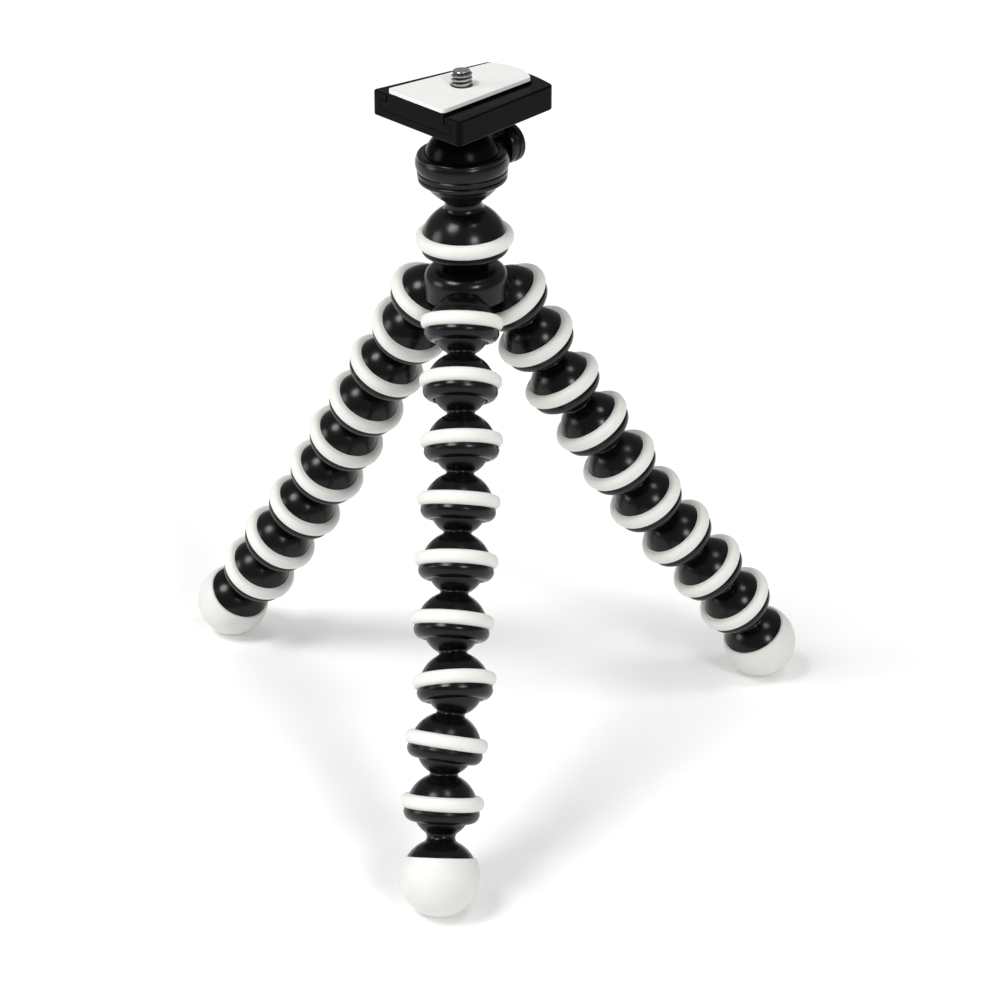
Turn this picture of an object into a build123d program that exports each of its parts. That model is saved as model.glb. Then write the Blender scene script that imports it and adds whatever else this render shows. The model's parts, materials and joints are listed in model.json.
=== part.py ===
from build123d import *
from collections import namedtuple
from math import cos, degrees, radians, sin, sqrt, tan
import os

os.makedirs("parts", exist_ok=True)

# Millimetres and degrees. +Z is up, the floor is Z = 0, and the front leg points to -Y.

# Leg socket, the ball that the next link holds in it, and the waist between the two
link_count = 8
leg_dome_r = 10.7
leg_dome_wall = 1.88
socket_clearance = 0.12
leg_ball_r = leg_dome_r - leg_dome_wall - socket_clearance
leg_waist_r = 4.25
waist_flare = 0.55
link_waist_length = 1.28
core_r = 3.0
core_floor = 2.0

# Retaining lip and grip ring of a leg socket, heights from the socket's centre
leg_ring_stand = 1.8
leg_ring_low = -0.3
leg_ring_top = 4.0
leg_ring_round = 1.9
leg_lip_stand = 0.7
leg_lip_slope = 0.2
leg_lip_round = 3.0
leg_mouth_depth = 4.2
leg_mouth_flare = 0.6
leg_ring_r = leg_dome_r + leg_ring_stand
leg_lip_r = leg_dome_r + leg_lip_stand

# Foot: rubber boot over the stud that ends the chain
foot_dome_growth = 0.8
foot_waist_length = 2.49
boot_stand = 0.5
boot_wall = 1.8
boot_edge_height = 5.7
boot_edge_round = 0.4
foot_dome_r = leg_dome_r + foot_dome_growth
boot_r = foot_dome_r + boot_stand

# Hub: leaning leg sockets round a barrel, with the neck ball on top
cup_gap = 2.8
cup_circle_r = leg_ring_r + cup_gap
cup_lean_angle = 32
barrel_inset = 2.3
barrel_r = cup_circle_r - barrel_inset
barrel_top = 14.5
barrel_shoulder_round = 4.5
barrel_side_low = 5.0
barrel_floor_r = 6.0
barrel_floor = 0.5
hub_waist_r = 6.5
ring_room = 0.3

# Neck ball and the larger socket that turns on it, heights from the ball's centre
neck_ball_height = 22.8
neck_dome_r = 13.8
neck_dome_drop = 2.0
neck_dome_wall = 1.18
neck_ring_stand = 1.2
neck_ring_low = -1.5
neck_ring_top = 3.1
neck_ring_round = 2.1
neck_lip_inset = 0.5
neck_lip_slope = 0.3
neck_lip_round = 1.2
neck_mouth_depth = 3.8
neck_mouth_flare = 0.4
neck_waist_r = 5.7
neck_waist_flare = 0.6
neck_ball_r = neck_dome_r - neck_dome_drop - neck_dome_wall - socket_clearance
neck_ring_r = neck_dome_r + neck_ring_stand
neck_lip_r = neck_dome_r - neck_lip_inset

# Head ball and its housing, heights from the head ball's centre
head_ball_r = 11.8
head_ball_height = 24.8
head_bowl_wall = 0.98
bowl_rim_stand = 0.6
bowl_rim_low = -5.5
bowl_rim_round = 0.8
bowl_flat_inset = 1.9
seam_height = -3.8
seam_notch = 0.4
collar_stand = 0.2
collar_bulge = 0.5
collar_top = 3.6
collar_round = 1.1
collar_groove_height = -1.9
collar_groove = 0.3
head_bowl_r = head_ball_r + socket_clearance + head_bowl_wall
bowl_rim_r = head_bowl_r + bowl_rim_stand
bowl_flat_r = head_bowl_r - bowl_flat_inset
collar_r = bowl_rim_r + collar_stand

# Lock knob on its clamp screw, distances from the head's axis
knob_r = 6.1
knob_lift = 1.2
knob_gap = 1.5
knob_length = 5.8
knob_round = 1.1
knob_groove = 0.4
knob_groove_share = 0.5
clamp_boss_r = 3.2
clamp_boss_stand = 1.1
clamp_screw_r = 2.0
clamp_screw_gap = 1.6
clamp_tip_gap = 0.1
thread_clearance = 0.08
knob_near = collar_r + knob_gap
knob_far = knob_near + knob_length
clamp_boss_end = collar_r + clamp_boss_stand
clamp_screw_start = head_ball_r + clamp_screw_gap
clamp_tip_start = head_ball_r + clamp_tip_gap

# Platform on the head ball's stem
stem_r = 5.5
stem_boss_r = 8.0
stem_boss_height = 1.0
stem_length = 2.9
platform_rise = head_ball_r + stem_length
platform_azimuth = 48
platform_forward = 2.7
platform_half = 19.4
platform_length = 42.4
platform_bulge = 1.8
platform_taper_angle = 6.8
platform_height = 7.8
platform_floor = 2.5
platform_wall = 3.7
platform_edge_round = 0.6
platform_end_round = 1.4
platform_corner_round = 2.2
rail_lip = 6.4
fixing_screw_r = 1.9
fixing_head_r = 3.6
fixing_head_height = 1.4
fixing_screw_depth = 9.0

# Quick-release plate, its pad and the camera screw
plate_flange = 2.8
plate_side_gap = 0.6
plate_taper_angle = 5.2
plate_bulge = 3.2
plate_proud = 0.8
plate_gap = 0.2
plate_end_wall = 3.0
plate_end_lip = 1.4
pad_thickness = 1.2
pad_corner_round = 1.2
screw_r = 3.175
screw_neck_r = 2.7
screw_stand = 4.6
thread_lift = 0.4
screw_tip_chamfer = 0.7
screw_hole_clearance = 0.25
screw_head_r = 5.2
screw_head_height = 1.5
screw_slot = 1.2
screw_slot_depth = 0.8
clip_r = 4.6
clip_thickness = 0.5
clip_groove = 0.4

# Pose: how far the hub and neck lean to the left leg, and the link angles of each leg, hub end
# first and the foot last, as lean from the vertical and side swing
hub_tilt_angle = 1.5
azimuths = {"front": -90, "right": 30, "left": 150}
lean_angles = {
    "front": (37, 34, 32, 35, 35, 37, 30, 27, 31),
    "right": (30, 28, 33, 32, 33, 38, 38, 36, 30),
    "left": (33, 31, 31, 31, 31, 31, 35, 34, 38),
}
swing_angles = {
    "front": (2, 4, 0, 1, -1, 6, -6, -1, 1),
    "right": (1, -6, -6, -2, 0, -3, -5, 0, 4),
    "left": (-11, 1, -4, -4, -4, 2, 2, -3, -4),
}
settling_rounds = 6
overrun = 40.0
grip_share = 0.5

Socket = namedtuple("Socket", "bore dome drop seat ring low top ring_round lip slope lip_round "
                              "mouth flare")


def socket_sizes(ball, dome, drop, *rest):
    """Sizes of one socket; the ring's seat is where its upper edge meets the dome."""
    top = rest[2]
    seat = sqrt(dome**2 - (top + drop) ** 2)
    return Socket(ball + socket_clearance, dome, drop, seat, *rest)


waist_edge = leg_waist_r + waist_flare
ball_reach = sqrt(leg_ball_r**2 - waist_edge**2)
link_dome_height = sqrt(leg_dome_r**2 - waist_edge**2)
foot_dome_height = sqrt(foot_dome_r**2 - waist_edge**2)
link_pitch = link_dome_height + link_waist_length + ball_reach
foot_pitch = foot_dome_height + foot_waist_length + ball_reach

leg_socket = socket_sizes(leg_ball_r, leg_dome_r, 0, leg_ring_r, leg_ring_low, leg_ring_top,
                          leg_ring_round, leg_lip_r, leg_lip_slope, leg_lip_round,
                          leg_mouth_depth, leg_mouth_flare)
neck_socket = socket_sizes(neck_ball_r, neck_dome_r, neck_dome_drop, neck_ring_r, neck_ring_low,
                           neck_ring_top, neck_ring_round, neck_lip_r, neck_lip_slope,
                           neck_lip_round, neck_mouth_depth, neck_mouth_flare)


def turned(*outline):
    """Solid turned round Z from a closed outline drawn as radius and height."""
    edges = [edge for line in outline for edge in line.edges()]
    return revolve(Rot(X=90) * make_face(edges), axis=Axis.Z)


def ball_arc(r, centre, low, high):
    """Outline of a ball between two heights taken from its centre."""
    heights = (low, (low + high) / 2, high)
    return ThreePointArc(*[(sqrt(r**2 - h**2), centre + h) for h in heights])


def socket_outline(s, dome_height):
    """From a height on the dome down over ring seat and lip, then up inside to the roof."""
    lip_flat = s.lip - s.lip_round
    mouth_top = s.flare - s.mouth
    mouth_r = sqrt(s.bore**2 - mouth_top**2)
    return [
        ball_arc(s.dome, -s.drop, s.top + s.drop, dome_height + s.drop),
        Polyline((s.seat, s.top), (s.seat, s.low), (s.lip - s.slope, s.low),
                 (s.lip, s.lip_round - s.mouth)),
        CenterArc((lip_flat, s.lip_round - s.mouth), s.lip_round, -90, 90),
        Polyline((lip_flat, -s.mouth), (mouth_r + s.flare / 2, -s.mouth), (mouth_r, mouth_top)),
        ball_arc(s.bore, 0, mouth_top, s.bore),
    ]


def ball_outline(r, centre, waist):
    """From the floor of the cored hole up, over the ball and down to a radius at its waist."""
    floor = centre - core_floor
    core_top = sqrt(r**2 - core_r**2)
    return [
        Polyline((0, floor), (core_r, floor), (core_r, centre + core_top)),
        ball_arc(r, centre, -sqrt(r**2 - waist**2), core_top),
    ]


def waist_outline(waist, flare, low, high):
    """Hollow waist between two heights, as a shallow arc."""
    return ThreePointArc((waist + flare, low), (waist, (low + high) / 2), (waist + flare, high))


def leg_link():
    """Shell of a leg link: ball, waist, dome and lip, with the socket's centre at the origin."""
    return turned(
        *ball_outline(leg_ball_r, link_pitch, waist_edge),
        waist_outline(leg_waist_r, waist_flare, link_dome_height, link_pitch - ball_reach),
        *socket_outline(leg_socket, link_dome_height),
        Line((0, leg_socket.bore), (0, link_pitch - core_floor)),
    )


def grip_ring(s):
    """Rubber band with rounded outer edges, seated between dome and lip."""
    r, flat = s.ring_round, s.ring - s.ring_round
    return turned(
        Line((s.seat, s.low), (flat, s.low)),
        CenterArc((flat, s.low + r), r, -90, 90),
        Line((s.ring, s.low + r), (s.ring, s.top - r)),
        CenterArc((flat, s.top - r), r, 0, 90),
        Polyline((flat, s.top), (s.seat, s.top), (s.seat, s.low)),
    )


def foot_stud():
    """Ball, waist and dome that end the chain, with the core that fills the boot."""
    core = boot_r - boot_wall
    dome_edge = sqrt(foot_dome_r**2 - boot_edge_height**2)
    core_edge = sqrt(core**2 - boot_edge_height**2)
    return turned(
        *ball_outline(leg_ball_r, foot_pitch, waist_edge),
        waist_outline(leg_waist_r, waist_flare, foot_dome_height, foot_pitch - ball_reach),
        ball_arc(foot_dome_r, 0, boot_edge_height, foot_dome_height),
        Line((dome_edge, boot_edge_height), (core_edge, boot_edge_height)),
        ball_arc(core, 0, -core, boot_edge_height),
        Line((0, -core), (0, foot_pitch - core_floor)),
    )


def foot_boot():
    """Rubber cap of a ball's shape, open round the stud's dome."""
    core = boot_r - boot_wall
    edge_low = boot_edge_height - boot_edge_round
    edge_r = sqrt(boot_r**2 - edge_low**2)
    core_edge = sqrt(core**2 - boot_edge_height**2)
    return turned(
        ball_arc(boot_r, 0, -boot_r, edge_low),
        Polyline((edge_r, edge_low), (edge_r - boot_edge_round, boot_edge_height),
                 (core_edge, boot_edge_height)),
        ball_arc(core, 0, -core, boot_edge_height),
        Line((0, -core), (0, -boot_r)),
    )


def heading(azimuth, lean, swing):
    """Unit vector down a link that leans outwards and swings sideways."""
    a, l, s = radians(azimuth), radians(lean), radians(swing)
    outward = Vector(cos(a), sin(a), 0)
    down = outward * sin(l) - Vector(0, 0, 1) * cos(l)
    return down * cos(s) + sideways(azimuth) * sin(s)


def sideways(azimuth):
    """Level unit vector across a leg's azimuth."""
    return Vector(-sin(radians(azimuth)), cos(radians(azimuth)), 0)


def chain_lengths():
    """Distances from socket to socket down a leg, with the foot's last."""
    return [link_pitch] * link_count + [foot_pitch]


def chain_drop(leg_leans, leg_swings):
    """How far a leg comes down from the hub's socket to the middle of its foot."""
    angles = zip(chain_lengths(), leg_leans, leg_swings)
    return sum(length * cos(radians(lean)) * cos(radians(swing)) for length, lean, swing in angles)


def settled(leg_leans, leg_swings, drop):
    """Open or close a leg evenly until its foot comes down by a given drop."""
    for _ in range(settling_rounds):
        angles = zip(chain_lengths(), leg_leans, leg_swings)
        slope = sum(length * sin(radians(lean)) * cos(radians(swing))
                    for length, lean, swing in angles)
        change = degrees((chain_drop(leg_leans, leg_swings) - drop) / slope)
        leg_leans = [lean + change for lean in leg_leans]
    return leg_leans


hub_height = chain_drop(lean_angles["front"], swing_angles["front"]) + boot_r


def tilted(direction):
    """Direction or place on the upright hub, turned with the hub's lean."""
    return direction.rotate(Axis.Y, -hub_tilt_angle)


def leg_stations(name):
    """Socket centres and headings of a leg, hub socket first and the foot last."""
    azimuth = azimuths[name]
    outward = Vector(cos(radians(azimuth)), sin(radians(azimuth)), 0)
    centre = tilted(outward * cup_circle_r) + Vector(0, 0, hub_height)
    stations = [(centre, tilted(heading(azimuth, cup_lean_angle, 0)))]
    leg_swings = swing_angles[name]
    leg_leans = settled(lean_angles[name], leg_swings, centre.Z - boot_r)
    for length, lean, swing in zip(chain_lengths(), leg_leans, leg_swings):
        down = heading(azimuth, lean, swing)
        centre = centre + down * length
        stations.append((centre, down))
    return stations


def hub_offset():
    """Where the hub's axis stands, so that the feet's box is centred on the origin."""
    feet = [leg_stations(name)[-1][0] for name in azimuths]
    x = (min(foot.X for foot in feet) + max(foot.X for foot in feet)) / 2
    y = (min(foot.Y for foot in feet) + max(foot.Y for foot in feet)) / 2
    return Vector(-x, -y, 0)


offset = hub_offset()


def seated(name, station, piece):
    """Put a piece modelled upright round its socket's centre at a station of a leg."""
    centre, down = station
    return Plane(centre + offset, x_dir=sideways(azimuths[name]), z_dir=-down).location * piece


def hub_cups(piece):
    """One copy of a piece at each of the hub's sockets."""
    return [seated(name, leg_stations(name)[0], piece) for name in azimuths]


def hub_level(height):
    """Location on the hub's leaning axis, at a distance above the middle of its sockets."""
    return Pos(offset.X, offset.Y, hub_height) * Rot(Y=-hub_tilt_angle) * Pos(Z=height)


def hub_barrel():
    """Barrel with a round shoulder, and the neck ball on a short waist above it."""
    shoulder = barrel_r - barrel_shoulder_round
    shoulder_low = barrel_top - barrel_shoulder_round
    ball_low = neck_ball_height - sqrt(neck_ball_r**2 - hub_waist_r**2)
    return turned(
        Polyline((0, barrel_floor), (barrel_floor_r, barrel_floor), (barrel_r, barrel_side_low),
                 (barrel_r, shoulder_low)),
        CenterArc((shoulder, shoulder_low), barrel_shoulder_round, 0, 90),
        Polyline((shoulder, barrel_top), (hub_waist_r, barrel_top), (hub_waist_r, ball_low)),
        *ball_outline(neck_ball_r, neck_ball_height, hub_waist_r),
        Line((0, barrel_floor), (0, neck_ball_height - core_floor)),
    )


def hub():
    """Barrel, three leaning sockets and the neck ball, as one moulding."""
    cup = turned(*socket_outline(leg_socket, leg_dome_r),
                 Line((0, leg_socket.bore), (0, leg_dome_r)))
    room_low = leg_ring_low - ring_room
    room_height = leg_ring_top + ring_room - room_low
    room = Pos(Z=room_low + room_height / 2) * Cylinder(leg_ring_r + ring_room, room_height)
    bore = Sphere(leg_socket.bore)
    return hub_level(0) * hub_barrel() - hub_cups(room) + hub_cups(cup) - hub_cups(bore)


def neck_link():
    """Large socket on the neck ball, its waist, and the bowl that holds the head ball."""
    edge = neck_waist_r + neck_waist_flare
    dome_height = sqrt(neck_dome_r**2 - edge**2) - neck_dome_drop
    bowl_low = head_ball_height - sqrt(head_bowl_r**2 - edge**2)
    rim_low = head_ball_height + bowl_rim_low
    rim_flat = bowl_rim_r - bowl_rim_round
    seam = head_ball_height + seam_height
    flat_height = -sqrt(head_bowl_r**2 - bowl_flat_r**2)
    bore = head_ball_r + socket_clearance
    return turned(
        *socket_outline(neck_socket, dome_height),
        waist_outline(neck_waist_r, neck_waist_flare, dome_height, bowl_low),
        ball_arc(head_bowl_r, head_ball_height, -sqrt(head_bowl_r**2 - edge**2), flat_height),
        Line((bowl_flat_r, head_ball_height + flat_height), (rim_flat, rim_low)),
        CenterArc((rim_flat, rim_low + bowl_rim_round), bowl_rim_round, -90, 90),
        Polyline((bowl_rim_r, rim_low + bowl_rim_round), (bowl_rim_r, seam - seam_notch),
                 (bowl_rim_r - seam_notch, seam), (sqrt(bore**2 - seam_height**2), seam)),
        ball_arc(bore, head_ball_height, -bore, seam_height),
        Line((0, neck_socket.bore), (0, head_ball_height - bore)),
    )


def collar_ring():
    """Turned collar that closes the housing round the upper half of the head ball."""
    bore = head_ball_r + socket_clearance
    shoulder = collar_top - collar_round
    rim_flat = collar_r - collar_round
    groove_top = collar_groove_height + collar_groove
    groove_low = collar_groove_height - collar_groove
    return turned(
        Polyline((sqrt(bore**2 - seam_height**2), seam_height), (collar_r - seam_notch, seam_height),
                 (collar_r, seam_height + seam_notch), (collar_r, groove_low),
                 (collar_r - collar_groove, collar_groove_height), (collar_r, groove_top)),
        ThreePointArc((collar_r, groove_top), (collar_r + collar_bulge, (groove_top + shoulder) / 2),
                      (collar_r, shoulder)),
        CenterArc((rim_flat, shoulder), collar_round, 0, 90),
        Line((rim_flat, collar_top), (sqrt(bore**2 - collar_top**2), collar_top)),
        ball_arc(bore, 0, seam_height, collar_top),
    )


def head_collar():
    """Collar with the boss that the clamp screw runs through."""
    bore = head_ball_r + socket_clearance
    boss = towards_knob(0) * Cylinder(clamp_boss_r, clamp_boss_end, align=FROM_BASE)
    hole_r = clamp_screw_r + thread_clearance
    hole = towards_knob(0) * Cylinder(hole_r, clamp_boss_end + overrun, align=FROM_BASE)
    return collar_ring() + (boss - Sphere(bore)) - hole


FROM_BASE = (Align.CENTER, Align.CENTER, Align.MIN)


def towards_knob(distance):
    """Location on the clamp screw's axis, from the head ball's centre, Z pointing to the knob."""
    return Rot(Z=platform_azimuth) * Pos(distance, 0, knob_lift) * Rot(Y=90)


def clamp_tip():
    """Friction tip between the clamp screw's end and the head ball."""
    length = clamp_screw_start - clamp_tip_start
    return towards_knob(clamp_tip_start) * Cylinder(clamp_screw_r, length, align=FROM_BASE)


def lock_knob():
    """Round knob with a groove round its rim and softened edges."""
    length = knob_far - knob_near
    body = Cylinder(knob_r, length, align=FROM_BASE)
    body = fillet(body.edges().filter_by(GeomType.CIRCLE), knob_round)
    groove = Pos(Z=length * knob_groove_share) * Torus(knob_r, knob_groove)
    hole = Cylinder(clamp_screw_r, length - knob_round, align=FROM_BASE)
    return towards_knob(knob_near) * (body - groove - hole)


def clamp_screw():
    """Threaded shank from inside the knob to the friction tip."""
    length = knob_far - knob_round - clamp_screw_start
    return towards_knob(clamp_screw_start) * Cylinder(clamp_screw_r, length, align=FROM_BASE)


def head_stem():
    """Head ball with its stem and the disc under the platform."""
    stem_low = sqrt(head_ball_r**2 - stem_r**2)
    boss_low = platform_rise - stem_boss_height
    hole_low = platform_rise - fixing_screw_depth
    return turned(
        ball_arc(head_ball_r, 0, -head_ball_r, stem_low),
        Polyline((stem_r, stem_low), (stem_r, boss_low), (stem_boss_r, boss_low),
                 (stem_boss_r, platform_rise), (fixing_screw_r, platform_rise),
                 (fixing_screw_r, hole_low), (0, hole_low), (0, -head_ball_r)),
    )


def tapered(half, taper, length, bulge, lead=0):
    """Face with a straight open end, sides that draw in and an arched closed end.

    A lead carries the sides on past the open end.
    """
    start = platform_forward - platform_length / 2
    slope = tan(radians(taper))
    near, far = start - lead, start + length
    near_half, far_half = half + lead * slope, half - length * slope
    return make_face([
        *Polyline((-far_half, far), (-near_half, near), (near_half, near), (far_half, far)).edges(),
        *ThreePointArc((far_half, far), (0, far + bulge), (-far_half, far)).edges(),
    ])


def slotted(half, taper, length, bulge, low, high, lead=0):
    """Block of a tapered face between two heights over the platform's underside."""
    face = tapered(half, taper, length, bulge, lead)
    return Pos(Z=platform_rise + low) * extrude(face, high - low)


def open_slot(half, taper, length, low, high):
    """Channel of the platform between two heights, cut through its open end."""
    return slotted(half, taper, length + plate_gap, plate_bulge, low, high, lead=platform_wall)


def platform():
    """Tray with lipped rails, open in front and arched behind."""
    body = slotted(platform_half, platform_taper_angle, platform_length, platform_bulge,
                   0, platform_height)
    upright = body.edges().filter_by(Axis.Z).sort_by(Axis.Y)
    body = fillet(upright[:2], platform_end_round)
    upright = body.edges().filter_by(Axis.Z).sort_by(Axis.Y)
    body = fillet(upright[-2:], platform_corner_round)
    rims = body.faces().filter_by(Axis.Z)
    body = fillet(rims.edges(), platform_edge_round)
    flange_top = platform_floor + plate_flange + 2 * plate_gap
    body -= open_slot(platform_half - platform_wall, platform_taper_angle, plate_length,
                      platform_floor, flange_top)
    body -= open_slot(platform_half - rail_lip, plate_taper_angle, pad_length,
                      flange_top, platform_height + platform_wall)
    head = Pos(Z=platform_rise + platform_floor - fixing_head_height) * Cylinder(
        fixing_head_r, fixing_head_height, align=FROM_BASE)
    hole = Pos(Z=platform_rise) * Cylinder(fixing_screw_r, platform_floor, align=FROM_BASE)
    return Rot(Z=platform_azimuth - 90) * (body - head - hole)


def fixing_screw():
    """Screw through the platform's floor into the stem, with a flat head and a cross slot."""
    head_low = platform_rise + platform_floor - fixing_head_height
    low = platform_rise - fixing_screw_depth
    shank = Pos(Z=low) * Cylinder(fixing_screw_r, head_low - low, align=FROM_BASE)
    head = Pos(Z=head_low) * Cylinder(fixing_head_r, fixing_head_height, align=FROM_BASE)
    slot_height = head_low + fixing_head_height - screw_slot_depth / 2
    slot = Pos(Z=slot_height) * Box(2 * fixing_head_r, screw_slot_depth, screw_slot_depth)
    return shank + head - slot - Rot(Z=90) * slot


plate_low = platform_floor + plate_gap
plate_top = platform_height + plate_proud
plate_length = platform_length - plate_end_wall
plate_half = platform_half - rail_lip - plate_side_gap
pad_length = plate_length - plate_end_lip
pad_top = plate_top + pad_thickness
screw_hole_r = screw_r + screw_hole_clearance


def release_plate():
    """Plate with side flanges under the rails, recessed for screw head and clip."""
    flange_half = platform_half - platform_wall - plate_gap
    flange_bulge = plate_bulge - plate_gap
    flange = slotted(flange_half, platform_taper_angle, plate_length, flange_bulge,
                     plate_low, plate_low + plate_flange)
    body = slotted(plate_half, plate_taper_angle, pad_length, flange_bulge, plate_low, plate_top)
    recess_r = screw_head_r + screw_hole_clearance
    recess = Pos(Z=platform_rise + plate_low) * Cylinder(
        recess_r, screw_head_height + plate_gap, align=FROM_BASE)
    hole = Pos(Z=platform_rise) * Cylinder(screw_hole_r, plate_top, align=FROM_BASE)
    clip_room = clip_thickness + 2 * plate_gap
    pocket = Pos(Z=platform_rise + plate_top - clip_room) * Cylinder(
        clip_r + screw_hole_clearance, clip_room, align=FROM_BASE)
    return Rot(Z=platform_azimuth - 90) * (flange + body - recess - hole - pocket)


def plate_pad():
    """Anti-slip pad that covers the plate's top round the screw."""
    bulge = plate_bulge - plate_gap
    pad = slotted(plate_half, plate_taper_angle, pad_length, bulge, plate_top, pad_top)
    pad = fillet(pad.edges().filter_by(Axis.Z), pad_corner_round)
    low = platform_rise + plate_top
    hole = Pos(Z=low) * Cylinder(screw_hole_r, pad_thickness, align=FROM_BASE)
    return Rot(Z=platform_azimuth - 90) * (pad - hole)


def camera_screw():
    """Camera screw: slotted head in the plate's recess, a neck, and a thread over the pad."""
    head_low = platform_rise + plate_low + plate_gap
    head_top = head_low + screw_head_height - plate_gap
    tip = platform_rise + pad_top + screw_stand
    clip_low = platform_rise + plate_top - clip_thickness - plate_gap
    thread_low = platform_rise + pad_top + thread_lift
    groove_r, neck_r = screw_neck_r - clip_groove, screw_neck_r
    body = turned(Polyline(
        (0, head_low), (screw_head_r, head_low), (screw_head_r, head_top), (neck_r, head_top),
        (neck_r, clip_low), (groove_r, clip_low), (groove_r, clip_low + clip_thickness),
        (neck_r, clip_low + clip_thickness), (neck_r, thread_low), (screw_r, thread_low),
        (screw_r, tip - screw_tip_chamfer), (screw_r - screw_tip_chamfer, tip), (0, tip),
        (0, head_low)))
    return body - Pos(Z=head_low) * Box(2 * screw_head_r, screw_slot, 2 * screw_slot_depth)


def screw_clip():
    """Split ring in the screw's groove, which keeps the screw in the plate."""
    groove_r = screw_neck_r - clip_groove
    low = platform_rise + plate_top - clip_thickness - plate_gap
    ring = turned(Polyline((groove_r, low), (clip_r, low), (clip_r, low + clip_thickness),
                           (groove_r, low + clip_thickness), (groove_r, low)))
    return ring - Pos(clip_r, 0, low) * Box(2 * clip_r, groove_r, 2 * clip_thickness)


def head_level():
    """Location of the head ball's centre, on the hub's leaning axis."""
    return hub_level(neck_ball_height + head_ball_height)


def platform_level():
    """Location of the head ball's centre, upright, as the platform stands level."""
    return Pos(head_level().position)


def solids(*pieces):
    """Separate solids of one node, kept apart."""
    return Compound(children=[solid for piece in pieces for solid in piece.solids()])


def leg_nodes():
    """Shells, rings and feet of the three legs, by node name."""
    link, ring = leg_link(), grip_ring(leg_socket)
    stud, boot = foot_stud(), foot_boot()
    nodes = {}
    for name in azimuths:
        stations = leg_stations(name)
        for number in range(1, link_count + 1):
            nodes[f"{name}_leg_link_{number}"] = seated(name, stations[number], link)
            nodes[f"{name}_leg_ring_{number}"] = seated(name, stations[number], ring)
        foot = stations[-1]
        nodes[f"{name}_foot"] = solids(seated(name, foot, stud), seated(name, foot, boot))
    return nodes


def head_nodes():
    """Hub, neck, head and platform, by node name."""
    neck, head, upright = hub_level(neck_ball_height), head_level(), platform_level()
    return {
        "hub": hub(),
        "hub_rings": solids(*hub_cups(grip_ring(leg_socket))),
        "neck_link": solids(neck * neck_link(), head * head_collar(), head * clamp_tip()),
        "neck_ring": neck * grip_ring(neck_socket),
        "platform": solids(upright * head_stem(), upright * platform(), upright * fixing_screw()),
        "lock_knob": solids(head * lock_knob(), head * clamp_screw()),
        "release_plate": upright * release_plate(),
        "plate_pad": upright * plate_pad(),
        "camera_screw": solids(upright * camera_screw(), upright * screw_clip()),
    }


for node, shape in {**leg_nodes(), **head_nodes()}.items():
    export_step(shape, f"parts/{node}.step")
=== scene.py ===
import json
import math

import bmesh
import bpy
from mathutils import Matrix, Vector


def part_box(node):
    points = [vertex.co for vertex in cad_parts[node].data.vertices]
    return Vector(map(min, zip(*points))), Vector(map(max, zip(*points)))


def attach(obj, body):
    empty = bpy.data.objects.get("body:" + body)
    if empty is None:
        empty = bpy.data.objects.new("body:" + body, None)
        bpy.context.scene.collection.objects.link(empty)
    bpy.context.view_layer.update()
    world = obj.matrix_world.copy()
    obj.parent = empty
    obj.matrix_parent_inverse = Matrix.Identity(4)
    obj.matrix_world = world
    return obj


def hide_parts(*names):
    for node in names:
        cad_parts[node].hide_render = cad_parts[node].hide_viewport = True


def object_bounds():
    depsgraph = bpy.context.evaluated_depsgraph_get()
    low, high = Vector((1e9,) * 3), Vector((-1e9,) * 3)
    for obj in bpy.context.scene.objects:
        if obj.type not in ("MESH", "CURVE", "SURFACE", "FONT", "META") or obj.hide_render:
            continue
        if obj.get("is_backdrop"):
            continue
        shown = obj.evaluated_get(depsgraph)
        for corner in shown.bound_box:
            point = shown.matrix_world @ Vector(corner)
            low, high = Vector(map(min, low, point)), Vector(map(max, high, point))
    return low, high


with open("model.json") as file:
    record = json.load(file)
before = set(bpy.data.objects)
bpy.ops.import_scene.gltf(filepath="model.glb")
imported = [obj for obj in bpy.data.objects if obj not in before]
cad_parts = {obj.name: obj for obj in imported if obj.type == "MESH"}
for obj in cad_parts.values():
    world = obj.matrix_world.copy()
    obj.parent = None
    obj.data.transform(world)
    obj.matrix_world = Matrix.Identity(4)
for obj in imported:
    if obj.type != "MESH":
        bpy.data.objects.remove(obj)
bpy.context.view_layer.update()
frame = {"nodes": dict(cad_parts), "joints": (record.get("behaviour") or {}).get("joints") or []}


# The photograph's viewpoint: a long lens from the front, a little to the right of the
# front leg and well above the floor. It aims at the middle of the hub's three sockets.
legs = ("front", "right", "left")
joint_place = {joint["child"]: Vector(joint["pos_m"]) for joint in frame["joints"]
               if "pos_m" in joint}
hub_middle = sum((joint_place[f"{leg}_leg_1"] for leg in legs), Vector()) / len(legs)
tripod_axis = Vector((hub_middle.x, hub_middle.y, 0))

view_azimuth = math.radians(5.28)
view_elevation = math.radians(26.75)
view_distance = 1.0535
aim_height = 0.08417
aim_sideways = 0.0101
sensor_width = 36
lens_length = 120.5
nearest_shown = 0.05
farthest_shown = 30

to_right = Vector((math.cos(view_azimuth), math.sin(view_azimuth), 0))
to_camera = Vector((
    math.sin(view_azimuth) * math.cos(view_elevation),
    -math.cos(view_azimuth) * math.cos(view_elevation),
    math.sin(view_elevation),
))

camera = bpy.data.objects.new("camera", bpy.data.cameras.new("camera"))
bpy.context.scene.collection.objects.link(camera)
camera.data.sensor_width = sensor_width
camera.data.lens = lens_length
camera.data.clip_start = nearest_shown
camera.data.clip_end = farthest_shown
camera.location = (
    tripod_axis + Vector((0, 0, aim_height)) + to_right * aim_sideways + to_camera * view_distance
)
camera.rotation_euler = (-to_camera).to_track_quat("-Z", "Y").to_euler()
bpy.context.scene.camera = camera
bpy.context.scene.view_settings.view_transform = "Standard"


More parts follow.
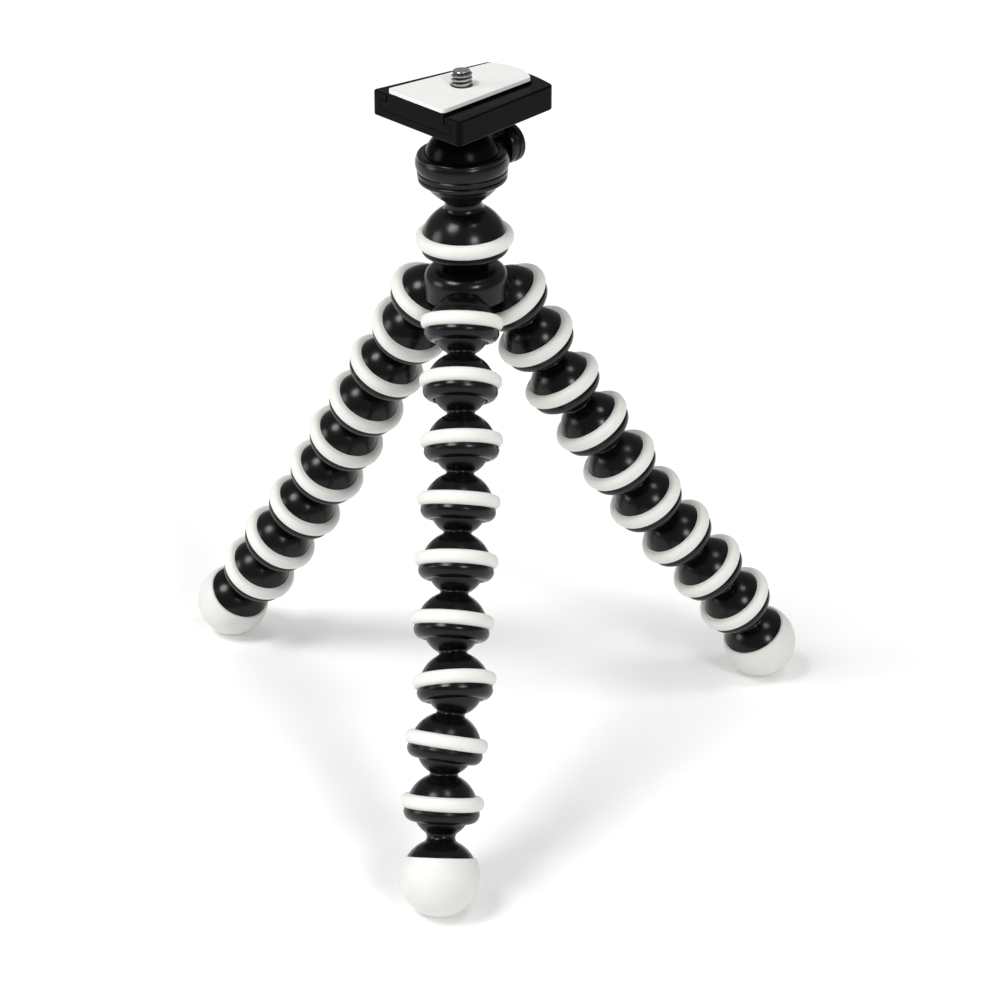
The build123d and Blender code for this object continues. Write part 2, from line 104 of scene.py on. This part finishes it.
# Studio floor: a wide pale sheet under the three feet. It is painted nearly white and
# keeps the tripod's soft shadow. A faint glow lifts it where the camera or a mirror sees it.
def link_mesh(name, bm):
    """Object at the origin, made from a finished bmesh."""
    mesh = bpy.data.meshes.new(name)
    bm.to_mesh(mesh)
    bm.free()
    piece = bpy.data.objects.new(name, mesh)
    bpy.context.scene.collection.objects.link(piece)
    return piece


def empty_finish(name):
    """New material with its nodes, links, shader and shader's sockets at hand."""
    material = bpy.data.materials.new(name)
    material.use_nodes = True
    tree = material.node_tree
    return material, tree.nodes, tree.links, tree.nodes["Principled BSDF"]


floor_half = 12
floor_tint = 0.92
floor_roughness = 0.9
floor_specular = 0.1
floor_glow = 0.18
white = (1, 1, 1, 1)

floor_bm = bmesh.new()
bmesh.ops.create_grid(floor_bm, x_segments=1, y_segments=1, size=floor_half)
floor = link_mesh("floor", floor_bm)

floor_paint, nodes, links, shader = empty_finish("floor_paint")
shader.inputs["Base Color"].default_value = (floor_tint, floor_tint, floor_tint, 1)
shader.inputs["Roughness"].default_value = floor_roughness
shader.inputs["Specular IOR Level"].default_value = floor_specular
shader.inputs["Emission Color"].default_value = white
path = nodes.new("ShaderNodeLightPath")
mirrored = nodes.new("ShaderNodeMath")
shown = nodes.new("ShaderNodeMath")
glow = nodes.new("ShaderNodeMath")
mirrored.operation = shown.operation = "ADD"
glow.operation = "MULTIPLY"
glow.inputs[1].default_value = floor_glow
links.new(path.outputs["Is Glossy Ray"], mirrored.inputs[0])
links.new(path.outputs["Is Transmission Ray"], mirrored.inputs[1])
links.new(path.outputs["Is Camera Ray"], shown.inputs[0])
links.new(mirrored.outputs[0], shown.inputs[1])
links.new(shown.outputs[0], glow.inputs[0])
links.new(glow.outputs[0], shader.inputs["Emission Strength"])
floor.data.materials.append(floor_paint)
floor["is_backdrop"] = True


# Studio light: a plain pale room and four soft lamps. Their places come from the soft blobs
# of light on the neck's dome: upper left, overhead, front right and far left.
room_strength = 0.28

world = bpy.data.worlds.new("studio")
bpy.context.scene.world = world
world.use_nodes = True
room_light = world.node_tree.nodes["Background"]
room_light.inputs["Color"].default_value = white
room_light.inputs["Strength"].default_value = room_strength

# For each lamp: the direction in which it stands, its width in degrees and its strength.
soft_lamps = {
    "lamp_upper_left": ((-0.432, -0.311, 0.842), 21, 1.45),
    "lamp_overhead": ((0.306, -0.114, 0.938), 14, 0.4),
    "lamp_front_right": ((0.476, -0.692, 0.523), 14, 0.85),
    "lamp_far_left": ((-0.924, -0.174, 0.307), 24, 0.7),
}
for name, (direction, spread, strength) in soft_lamps.items():
    lamp = bpy.data.objects.new(name, bpy.data.lights.new(name, "SUN"))
    bpy.context.scene.collection.objects.link(lamp)
    lamp.data.angle = math.radians(spread)
    lamp.data.energy = strength
    lamp.rotation_euler = (-Vector(direction)).to_track_quat("-Z", "Y").to_euler()


# Hub: one moulding of glossy black plastic with three leaning sockets for the legs and
# the large ball of the neck on top.
drift_detail = 4
drift_roughness = 0.6
drift_range = (0.32, 0.68)
grain_detail = 2
grain_strength = 0.6


def moulded_surface_group():
    """Slow drift of tint and gloss over a moulding, and the fine grain of its mould."""
    group = bpy.data.node_groups.new("moulded_surface", "ShaderNodeTree")
    sockets = (
        ("Tint Low", "INPUT", "NodeSocketColor"),
        ("Tint High", "INPUT", "NodeSocketColor"),
        ("Roughness Low", "INPUT", "NodeSocketFloat"),
        ("Roughness High", "INPUT", "NodeSocketFloat"),
        ("Drift Scale", "INPUT", "NodeSocketFloat"),
        ("Grain Scale", "INPUT", "NodeSocketFloat"),
        ("Tint", "OUTPUT", "NodeSocketColor"),
        ("Roughness", "OUTPUT", "NodeSocketFloat"),
        ("Grain", "OUTPUT", "NodeSocketFloat"),
    )
    for name, side, kind in sockets:
        group.interface.new_socket(name=name, in_out=side, socket_type=kind)
    nodes, links = group.nodes, group.links
    given = nodes.new("NodeGroupInput")
    result = nodes.new("NodeGroupOutput")
    place = nodes.new("ShaderNodeTexCoord")
    drift = nodes.new("ShaderNodeTexNoise")
    drift.inputs["Detail"].default_value = drift_detail
    drift.inputs["Roughness"].default_value = drift_roughness
    links.new(place.outputs["Object"], drift.inputs["Vector"])
    links.new(given.outputs["Drift Scale"], drift.inputs["Scale"])
    spread = nodes.new("ShaderNodeMapRange")
    spread.inputs["From Min"].default_value = drift_range[0]
    spread.inputs["From Max"].default_value = drift_range[1]
    links.new(drift.outputs["Fac"], spread.inputs["Value"])
    tint = nodes.new("ShaderNodeMix")
    tint.data_type = "RGBA"
    links.new(spread.outputs["Result"], tint.inputs["Factor"])
    links.new(given.outputs["Tint Low"], tint.inputs[6])
    links.new(given.outputs["Tint High"], tint.inputs[7])
    links.new(tint.outputs[2], result.inputs["Tint"])
    rough = nodes.new("ShaderNodeMapRange")
    links.new(spread.outputs["Result"], rough.inputs["Value"])
    links.new(given.outputs["Roughness Low"], rough.inputs["To Min"])
    links.new(given.outputs["Roughness High"], rough.inputs["To Max"])
    links.new(rough.outputs["Result"], result.inputs["Roughness"])
    grain = nodes.new("ShaderNodeTexNoise")
    grain.inputs["Detail"].default_value = grain_detail
    links.new(place.outputs["Object"], grain.inputs["Vector"])
    links.new(given.outputs["Grain Scale"], grain.inputs["Scale"])
    links.new(grain.outputs["Fac"], result.inputs["Grain"])
    return group


moulded_surface = moulded_surface_group()


def drifting_surface(nodes, tints, roughness, drift_scale, grain_scale):
    """The shared surface group, set for one finish."""
    surface = nodes.new("ShaderNodeGroup")
    surface.node_tree = moulded_surface
    surface.inputs["Tint Low"].default_value = (*tints[0], 1)
    surface.inputs["Tint High"].default_value = (*tints[1], 1)
    surface.inputs["Roughness Low"].default_value = roughness[0]
    surface.inputs["Roughness High"].default_value = roughness[1]
    surface.inputs["Drift Scale"].default_value = drift_scale
    surface.inputs["Grain Scale"].default_value = grain_scale
    return surface


def join_gloss_and_grain(nodes, links, surface, shader, strength, depth):
    """Join a surface's gloss, and its grain as a bump, to the shader."""
    bump = nodes.new("ShaderNodeBump")
    bump.inputs["Strength"].default_value = strength
    bump.inputs["Distance"].default_value = depth
    links.new(surface.outputs["Roughness"], shader.inputs["Roughness"])
    links.new(surface.outputs["Grain"], bump.inputs["Height"])
    links.new(bump.outputs["Normal"], shader.inputs["Normal"])


def moulded_finish(name, tints, roughness, specular, drift_scale, grain_scale, grain_depth):
    """Moulded plastic or rubber whose tint, gloss and grain vary as a real moulding's do."""
    material, nodes, links, shader = empty_finish(name)
    surface = drifting_surface(nodes, tints, roughness, drift_scale, grain_scale)
    links.new(surface.outputs["Tint"], shader.inputs["Base Color"])
    join_gloss_and_grain(nodes, links, surface, shader, grain_strength, grain_depth)
    shader.inputs["Specular IOR Level"].default_value = specular
    return material


def dress(node, material):
    """Give a CAD node its finish."""
    mesh = frame["nodes"][node].data
    mesh.materials.clear()
    mesh.materials.append(material)


gloss_black = moulded_finish(
    "gloss_black_plastic",
    tints=((0.002, 0.002, 0.0024), (0.004, 0.004, 0.0045)), roughness=(0.20, 0.27),
    specular=0.28, drift_scale=90, grain_scale=900, grain_depth=0.00002,
)
dress("hub", gloss_black)


# Grip rings: off-white rubber bands, stretched over each socket's dome and held by the
# lip under them. The hub carries three, each leg eight, and the neck a larger one.
ring_rubber = moulded_finish(
    "off_white_ring_rubber",
    tints=((0.86, 0.86, 0.815), (0.91, 0.91, 0.865)), roughness=(0.42, 0.56),
    specular=0.35, drift_scale=70, grain_scale=2600, grain_depth=0.00003,
)
dress("hub_rings", ring_rubber)
dress("neck_ring", ring_rubber)


# Leg links: eight black ball-and-socket shells in each of the three legs, all from one
# mould, each with its grip ring. Every shell's ball is pressed into the socket above it.
links_in_leg = 8
for leg in legs:
    for number in range(1, links_in_leg + 1):
        dress(f"{leg}_leg_link_{number}", gloss_black)
        dress(f"{leg}_leg_ring_{number}", ring_rubber)


# Feet: a black stud with the last ball and a dome, and a white rubber boot pulled over
# the stud's lower half. The boot's rim is rounded and lies against the dome.
weld_distance = 1e-6
cut_tolerance = 1e-7


def profile_vertex(bm, radius, height):
    """First vertex of a profile that is spun round Z."""
    return bm.verts.new((radius, 0, height))


def profile_line(bm, last, radius, height):
    """Carry a profile on in a straight line."""
    new = bmesh.ops.extrude_vert_indiv(bm, verts=[last])["verts"][0]
    new.co = (radius, 0, height)
    return new


def profile_arc(bm, last, centre, angle, steps):
    """Carry a profile on round a centre given as radius and height; plus turns upwards."""
    made = bmesh.ops.spin(
        bm, geom=[last], cent=(centre[0], 0, centre[1]), axis=(0, -1, 0), angle=angle, steps=steps,
    )
    return [v for v in made["geom_last"] if isinstance(v, bmesh.types.BMVert)][0]


def spun(bm, segments):
    """Spin the whole profile round Z into a closed skin with its faces outwards."""
    bmesh.ops.spin(
        bm, geom=bm.verts[:] + bm.edges[:], cent=(0, 0, 0), axis=(0, 0, 1),
        angle=math.tau, steps=segments, use_merge=True,
    )
    bmesh.ops.remove_doubles(bm, verts=bm.verts[:], dist=weld_distance)
    bmesh.ops.recalc_face_normals(bm, faces=bm.faces[:])
    for face in bm.faces:
        face.smooth = True
    return bm


def smooth_by_angle(piece, degrees):
    """Round faces stay soft and true edges stay sharp."""
    bm = bmesh.new()
    bm.from_mesh(piece.data)
    for edge in bm.edges:
        edge.smooth = edge.is_boundary or edge.calc_face_angle(0) < math.radians(degrees)
    bm.to_mesh(piece.data)
    bm.free()


boot_radius = 0.012
boot_wall = 0.0018
boot_rim_height = 0.0057
boot_rim_round = 0.0004
stud_dome_radius = 0.0115
stud_waist_radius = 0.0048
stud_waist_draw = 0.00055
stud_ball_radius = 0.0087
stud_ball_height = 0.020196
stud_core_radius = 0.003
stud_core_depth = 0.002
stud_core_floor = stud_ball_height - stud_core_depth
foot_segments = 96
moulded_crease = 35

# Steps of the arcs in the two profiles.
boot_outer_steps = 40
boot_rim_steps = 5
boot_inner_steps = 20
stud_dome_steps = 14
stud_waist_steps = 8
stud_ball_steps = 30


def angle_at(radius, height):
    """Elevation of a point on a profile, seen from the profile's origin."""
    return math.atan2(height, radius)


def boot_skin():
    """Rubber boot, upright round the middle of its ball."""
    bm = bmesh.new()
    inner = boot_radius - boot_wall
    low_edge = boot_rim_height - boot_rim_round
    edge_radius = math.sqrt(boot_radius**2 - low_edge**2)
    inner_radius = math.sqrt(inner**2 - boot_rim_height**2)
    last = profile_vertex(bm, 0, -boot_radius)
    turn = math.pi / 2 + angle_at(edge_radius, low_edge)
    last = profile_arc(bm, last, (0, 0), turn, boot_outer_steps)
    rim_centre = (edge_radius - boot_rim_round, low_edge)
    last = profile_arc(bm, last, rim_centre, math.pi / 2, boot_rim_steps)
    last = profile_line(bm, last, inner_radius, boot_rim_height)
    turn = -math.pi / 2 - angle_at(inner_radius, boot_rim_height)
    profile_arc(bm, last, (0, 0), turn, boot_inner_steps)
    return spun(bm, foot_segments)


def stud_skin():
    """Black stud: dome, waist and cored ball, upright round the middle of the boot."""
    bm = bmesh.new()
    dome_low = boot_rim_height - boot_rim_round
    low_radius = math.sqrt(stud_dome_radius**2 - dome_low**2) - boot_rim_round
    dome_top = math.sqrt(stud_dome_radius**2 - stud_waist_radius**2)
    ball_low = stud_ball_height - math.sqrt(stud_ball_radius**2 - stud_waist_radius**2)
    last = profile_vertex(bm, 0, dome_low)
    last = profile_line(bm, last, low_radius, dome_low)
    rim_radius = math.sqrt(stud_dome_radius**2 - boot_rim_height**2)
    last = profile_line(bm, last, rim_radius, boot_rim_height)
    turn = angle_at(stud_waist_radius, dome_top) - angle_at(last.co.x, last.co.z)
    last = profile_arc(bm, last, (0, 0), turn, stud_dome_steps)
    half_gap = (ball_low - dome_top) / 2
    reach = (half_gap**2 + stud_waist_draw**2) / (2 * stud_waist_draw)
    centre = (stud_waist_radius - stud_waist_draw + reach, dome_top + half_gap)
    last = profile_arc(bm, last, centre, -2 * math.asin(half_gap / reach), stud_waist_steps)
    core_height = math.sqrt(stud_ball_radius**2 - stud_core_radius**2)
    turn = angle_at(stud_core_radius, core_height) - angle_at(
        stud_waist_radius, ball_low - stud_ball_height)
    last = profile_arc(bm, last, (0, stud_ball_height), turn, stud_ball_steps)
    last = profile_line(bm, last, stud_core_radius, stud_core_floor)
    profile_line(bm, last, 0, stud_core_floor)
    return spun(bm, foot_segments)


boot_rubber = moulded_finish(
    "white_boot_rubber",
    tints=((0.80, 0.80, 0.765), (0.86, 0.86, 0.825)), roughness=(0.38, 0.52),
    specular=0.35, drift_scale=80, grain_scale=2400, grain_depth=0.00003,
)

# In plan each boot is the outermost part of its foot, so its middle lies one boot's
# radius in from the outer sides of the node's box.
foot_sides = {"front": (0, -1), "right": (1, 1), "left": (-1, 1)}
for leg in legs:
    node = f"{leg}_foot"
    low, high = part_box(node)
    side_x, side_y = foot_sides[leg]
    outer_x = {-1: low.x + boot_radius, 0: (low.x + high.x) / 2, 1: high.x - boot_radius}
    outer_y = {-1: low.y + boot_radius, 1: high.y - boot_radius}
    boot_middle = Vector((outer_x[side_x], outer_y[side_y], boot_radius))
    upwards = (joint_place[node] - boot_middle).normalized()
    turned = upwards.to_track_quat("Z", "Y").to_matrix().to_4x4()
    place = Matrix.Translation(boot_middle) @ turned
    for name, skin, finish in (("stud", stud_skin(), gloss_black),
                               ("boot", boot_skin(), boot_rubber)):
        bmesh.ops.transform(skin, matrix=place, verts=skin.verts[:])
        piece = link_mesh(f"{node}_{name}", skin)
        smooth_by_angle(piece, moulded_crease)
        piece.data.materials.append(finish)
        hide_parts(node)
        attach(piece, node)


# Neck link, head ball housing and clamp collar: glossy black mouldings. The neck turns
# on the hub's ball, and the collar closes the housing round the head ball.
dress("neck_link", gloss_black)


# Lock knob: a round black knob with a groove round its rim, on the clamp screw that
# presses on the head ball.
dress("lock_knob", gloss_black)


# Platform: a black tray with two lipped rails, screwed on the head ball's stem. Its
# mould was finely blasted, so it is duller than the links.
satin_black = moulded_finish(
    "satin_black_plastic",
    tints=((0.0015, 0.0015, 0.0018), (0.003, 0.003, 0.0033)), roughness=(0.18, 0.28),
    specular=0.05, drift_scale=60, grain_scale=3200, grain_depth=0.00003,
)
dress("platform", satin_black)


# Quick-release plate and its anti-slip pad: a black moulding that slides in under the
# rails, with an off-white rubber sheet glued on its top.
dress("release_plate", satin_black)

pad_rubber = moulded_finish(
    "off_white_pad_rubber",
    tints=((0.88, 0.88, 0.86), (0.92, 0.92, 0.90)), roughness=(0.5, 0.64),
    specular=0.3, drift_scale=50, grain_scale=3000, grain_depth=0.00004,
)
dress("plate_pad", pad_rubber)


# Camera screw: a plated steel screw with a standard quarter-inch thread, turned from
# bar. Its slotted head sits in the plate's recess, and a split ring keeps it there.
screw_low, screw_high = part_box("camera_screw")
screw_foot = Vector(((screw_low.x + screw_high.x) / 2, (screw_low.y + screw_high.y) / 2,
                     screw_low.z))
screw_length = screw_high.z - screw_low.z
thread_pitch = 0.00127
crest_radius = 0.003175
root_radius = 0.00242
crest_flat_share = 0.1
root_flat_share = 0.14
neck_radius = 0.0027
thread_length = 0.0042
tip_chamfer = 0.0007
head_radius = 0.0052
head_height = 0.0013
head_segments = 72
head_edge_round = 0.0002
head_edge_steps = 3
slot_half = 0.0006
slot_depth = 0.0007
slot_end_inset = 0.0008
clip_bore = 0.0023
clip_radius = 0.0046
clip_thickness = 0.0005
clip_depth = 0.0065
clip_turn = math.radians(330)
clip_steps = 48
thread_steps = 64
turned_crease = 30
facing_down = -0.99


def thread_skin():
    """Smooth neck on the head, and the thread from there to the chamfered tip."""
    bm = bmesh.new()
    thread_low = screw_length - thread_length
    start = thread_low - 2 * thread_pitch
    turns = math.ceil((screw_length - start) / thread_pitch) + 1
    corners = (
        (root_radius, root_flat_share / 2),
        (crest_radius, (1 - crest_flat_share) / 2),
        (crest_radius, (1 + crest_flat_share) / 2),
        (root_radius, 1 - root_flat_share / 2),
        (root_radius, 1),
    )
    last = profile_vertex(bm, root_radius, start)
    for turn in range(turns):
        low = start + turn * thread_pitch
        for radius, share in corners:
            last = profile_line(bm, last, radius, low + thread_pitch * share)
    bmesh.ops.spin(
        bm, geom=bm.verts[:] + bm.edges[:], cent=(0, 0, 0), axis=(0, 0, 1),
        dvec=(0, 0, thread_pitch / thread_steps), angle=math.tau, steps=thread_steps,
    )
    bmesh.ops.remove_doubles(bm, verts=bm.verts[:], dist=weld_distance)
    for height, above in ((thread_low, False), (screw_length, True)):
        bmesh.ops.bisect_plane(
            bm, geom=bm.verts[:] + bm.edges[:] + bm.faces[:], dist=cut_tolerance,
            plane_co=(0, 0, height), plane_no=(0, 0, 1),
            clear_outer=above, clear_inner=not above,
        )
    bmesh.ops.bisect_plane(
        bm, geom=bm.verts[:] + bm.edges[:] + bm.faces[:], dist=cut_tolerance,
        plane_co=(0, 0, screw_length - tip_chamfer), plane_no=(0, 0, 1),
    )
    for vertex in bm.verts:
        reach = math.hypot(vertex.co.x, vertex.co.y)
        limit = crest_radius + min(0, screw_length - tip_chamfer - vertex.co.z)
        if reach > limit:
            vertex.co.x *= limit / reach
            vertex.co.y *= limit / reach
    open_edges = [edge for edge in bm.edges if edge.is_boundary]
    bmesh.ops.holes_fill(bm, edges=open_edges, sides=0)
    neck_height = thread_low - head_height
    bmesh.ops.create_cone(
        bm, cap_ends=True, segments=thread_steps, radius1=neck_radius, radius2=neck_radius,
        depth=neck_height, matrix=Matrix.Translation((0, 0, head_height + neck_height / 2)),
    )
    bmesh.ops.recalc_face_normals(bm, faces=bm.faces[:])
    for face in bm.faces:
        face.smooth = True
    return bm


def head_skin():
    """Round screw head with softened edges and a coin slot in its underside."""
    bm = bmesh.new()
    bmesh.ops.create_cone(bm, cap_ends=True, segments=head_segments, radius1=head_radius,
                          radius2=head_radius, depth=head_height)
    bmesh.ops.translate(bm, verts=bm.verts[:], vec=(0, 0, head_height / 2))
    rims = [edge for edge in bm.edges
            if abs(edge.verts[0].co.z - edge.verts[1].co.z) < cut_tolerance]
    bmesh.ops.bevel(bm, geom=rims, offset=head_edge_round, segments=head_edge_steps,
                    profile=0.5, affect="EDGES", material=-1)
    under = min(bm.faces, key=lambda face: face.calc_center_median().z - face.calc_area())
    bmesh.ops.inset_region(bm, faces=[under], thickness=slot_end_inset)
    for side in (-1, 1):
        geom = [g for face in bm.faces if face.normal.z < facing_down for g in
                [*face.verts, *face.edges, face]]
        bmesh.ops.bisect_plane(bm, geom=list(set(geom)), dist=cut_tolerance,
                               plane_co=(0, side * slot_half, 0), plane_no=(0, 1, 0))
    floor_faces = [face for face in bm.faces if face.normal.z < facing_down
                   and abs(face.calc_center_median().y) < slot_half / 2
                   and abs(face.calc_center_median().x) < head_radius / 4]
    slot = bmesh.ops.extrude_face_region(bm, geom=floor_faces)["geom"]
    bmesh.ops.translate(bm, vec=(0, 0, slot_depth),
                        verts=[g for g in slot if isinstance(g, bmesh.types.BMVert)])
    bmesh.ops.delete(bm, geom=[face for face in floor_faces if face.is_valid],
                     context="FACES_ONLY")
    bmesh.ops.recalc_face_normals(bm, faces=bm.faces[:])
    return bm


def clip_skin():
    """Split ring that sits in the shank's groove under the pad."""
    bm = bmesh.new()
    low, high = screw_length - clip_depth, screw_length - clip_depth + clip_thickness
    corners = [profile_vertex(bm, clip_bore, low), profile_vertex(bm, clip_radius, low),
               profile_vertex(bm, clip_radius, high), profile_vertex(bm, clip_bore, high)]
    bm.faces.new(corners)
    bmesh.ops.spin(bm, geom=bm.verts[:] + bm.edges[:] + bm.faces[:], cent=(0, 0, 0),
                   axis=(0, 0, 1), angle=clip_turn, steps=clip_steps)
    bmesh.ops.recalc_face_normals(bm, faces=bm.faces[:])
    return bm


# Its steel keeps its own tint on the crests and the tip, and painted shade darkens it down in the
# thread.
turning_strength = 0.4
turning_depth = 0.00001
thread_painted_shade = (0.025, 0.025, 0.024, 1)
crest_unshaded_band = 0.00012
tip_unshaded_band = 0.00005

plated_steel, nodes, links, shader = empty_finish("plated_steel")
surface = drifting_surface(
    nodes, tints=((0.62, 0.62, 0.60), (0.76, 0.76, 0.74)), roughness=(0.14, 0.24),
    drift_scale=500, grain_scale=5000,
)
join_gloss_and_grain(nodes, links, surface, shader, turning_strength, turning_depth)
place = nodes.new("ShaderNodeTexCoord")
from_axis = nodes.new("ShaderNodeMapping")
from_axis.inputs["Location"].default_value = (-screw_foot.x, -screw_foot.y, 0)
flattened = nodes.new("ShaderNodeVectorMath")
flattened.operation = "MULTIPLY"
flattened.inputs[1].default_value = (1, 1, 0)
reach = nodes.new("ShaderNodeVectorMath")
reach.operation = "LENGTH"
depth = nodes.new("ShaderNodeMapRange")
depth.inputs["From Min"].default_value = root_radius
depth.inputs["From Max"].default_value = crest_radius - crest_unshaded_band
height = nodes.new("ShaderNodeSeparateXYZ")
on_tip = nodes.new("ShaderNodeMath")
on_tip.operation = "GREATER_THAN"
on_tip.inputs[1].default_value = screw_high.z - tip_unshaded_band
unshaded_share = nodes.new("ShaderNodeMath")
unshaded_share.operation = "MAXIMUM"
# Painted shade: the steel's tint darkens towards the thread's root, except on the tip.
painted_shade_mix = nodes.new("ShaderNodeMix")
painted_shade_mix.data_type = "RGBA"
painted_shade_mix.inputs[6].default_value = thread_painted_shade
links.new(place.outputs["Object"], from_axis.inputs["Vector"])
links.new(from_axis.outputs["Vector"], flattened.inputs[0])
links.new(flattened.outputs["Vector"], reach.inputs[0])
links.new(reach.outputs["Value"], depth.inputs["Value"])
links.new(place.outputs["Object"], height.inputs["Vector"])
links.new(height.outputs["Z"], on_tip.inputs[0])
links.new(depth.outputs["Result"], unshaded_share.inputs[0])
links.new(on_tip.outputs[0], unshaded_share.inputs[1])
links.new(unshaded_share.outputs[0], painted_shade_mix.inputs["Factor"])
links.new(surface.outputs["Tint"], painted_shade_mix.inputs[7])
links.new(painted_shade_mix.outputs[2], shader.inputs["Base Color"])
shader.inputs["Metallic"].default_value = 1

for name, skin in (("camera_screw_thread", thread_skin()), ("camera_screw_head", head_skin()),
                   ("camera_screw_clip", clip_skin())):
    bmesh.ops.translate(skin, verts=skin.verts[:], vec=screw_foot)
    piece = link_mesh(name, skin)
    smooth_by_angle(piece, turned_crease)
    piece.data.materials.append(plated_steel)
    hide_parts("camera_screw")
    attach(piece, "camera_screw")


# The box round the dressed tripod, with the floor left out.
low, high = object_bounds()
